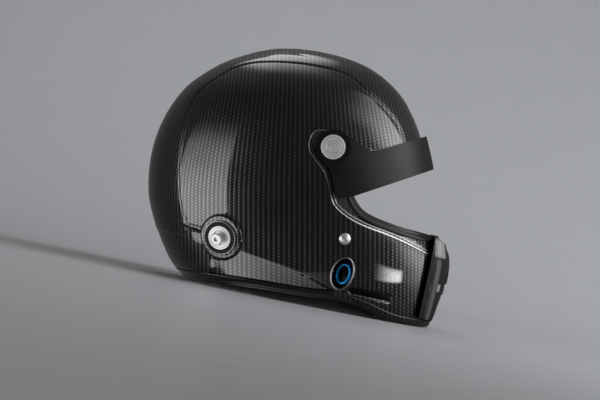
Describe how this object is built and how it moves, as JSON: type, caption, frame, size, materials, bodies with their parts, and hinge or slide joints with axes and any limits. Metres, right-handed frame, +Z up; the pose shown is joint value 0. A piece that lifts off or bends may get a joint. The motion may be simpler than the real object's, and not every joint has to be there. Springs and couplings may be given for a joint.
{
  "type": "auto racing helmet",
  "caption": "Full-face auto racing helmet in clear-coated carbon twill, with a short tilting peak, side posts, drink port, sliding chin vent and strap.",
  "frame": {"origin": "middle of the table face under the helmet", "axes": "+X forward (face side), +Y to the wearer's left, +Z up"},
  "size_m": [0.3407, 0.2588, 0.2677],
  "materials": {
    "carbon_clear": "carbon twill laminate under clear gloss coat",
    "rubber_trim": "satin black rubber",
    "peak_plastic": "matt black moulded plastic",
    "module_plastic": "satin black moulded plastic",
    "grille_black": "black coated mesh",
    "tab_grey": "satin grey moulded plastic",
    "satin_metal": "satin turned aluminium",
    "blue_anodised": "blue anodised aluminium",
    "black_metal": "black anodised aluminium",
    "steel": "plain steel",
    "foam_black": "moulded bead foam, near black",
    "pad_fabric": "black flame-resistant knit",
    "webbing": "black woven webbing"
  },
  "bodies": {
    "helmet": {"anchor_rivets": "steel", "bottom_edge_trim": "rubber_trim", "brow_pad": "pad_fabric", "cheek_liner_left": "foam_black", "cheek_liner_right": "foam_black", "cheek_pad_left": "pad_fabric", "cheek_pad_right": "pad_fabric", "chin_liner": "foam_black", "chin_strap_left": "webbing", "chin_strap_right": "webbing", "chin_vent_frame": "module_plastic", "chin_vent_grille": "grille_black", "comms_socket": "black_metal", "crown_liner": "foam_black", "crown_pad": "pad_fabric", "eyeport_trim": "rubber_trim", "hydration_socket": "blue_anodised", "neck_roll": "pad_fabric", "outer_shell": "carbon_clear", "pivot_bush_left": "steel", "pivot_bush_right": "steel", "pivot_nuts": "steel", "pivot_screw_left": "satin_metal", "pivot_screw_right": "satin_metal", "pivot_washers": "module_plastic", "port_bezel_left": "module_plastic", "port_bezel_right": "module_plastic", "post_disc_left": "satin_metal", "post_disc_right": "satin_metal", "post_nuts": "steel", "post_ring_left": "module_plastic", "post_ring_right": "module_plastic", "side_stud_left": "satin_metal", "side_stud_right": "satin_metal", "strap_anchor_left": "steel", "strap_anchor_right": "steel", "stud_nuts": "steel", "tether_post_left": "satin_metal", "tether_post_right": "satin_metal"},
    "peak": {"peak": "peak_plastic"},
    "vent_shutter": {"chin_vent_shutter": "tab_grey"},
    "ring_inner": {"d_ring_inner": "steel"},
    "ring_outer": {"d_ring_outer": "steel"}
  },
  "joints": [
    {"name": "peak_tilt", "type": "hinge", "parent": "helmet", "child": "peak", "pos_m": [0.01878, 0, 0.16758], "axis": [0, -1, 0], "range_deg": [-10, 38]},
    {"name": "vent_slide", "type": "slide", "parent": "helmet", "child": "vent_shutter", "axis": [0, 0, -1], "range_m": [0, 0.01]},
    {"name": "ring_inner_swing", "type": "hinge", "parent": "helmet", "child": "ring_inner", "pos_m": [0.004, 0.038, 0.0044], "axis": [-1, 0, 0], "range_deg": [0, 90]},
    {"name": "ring_outer_swing", "type": "hinge", "parent": "helmet", "child": "ring_outer", "pos_m": [0.004, 0.0432, 0.0044], "axis": [1, 0, 0], "range_deg": [0, 90]}
  ]
}
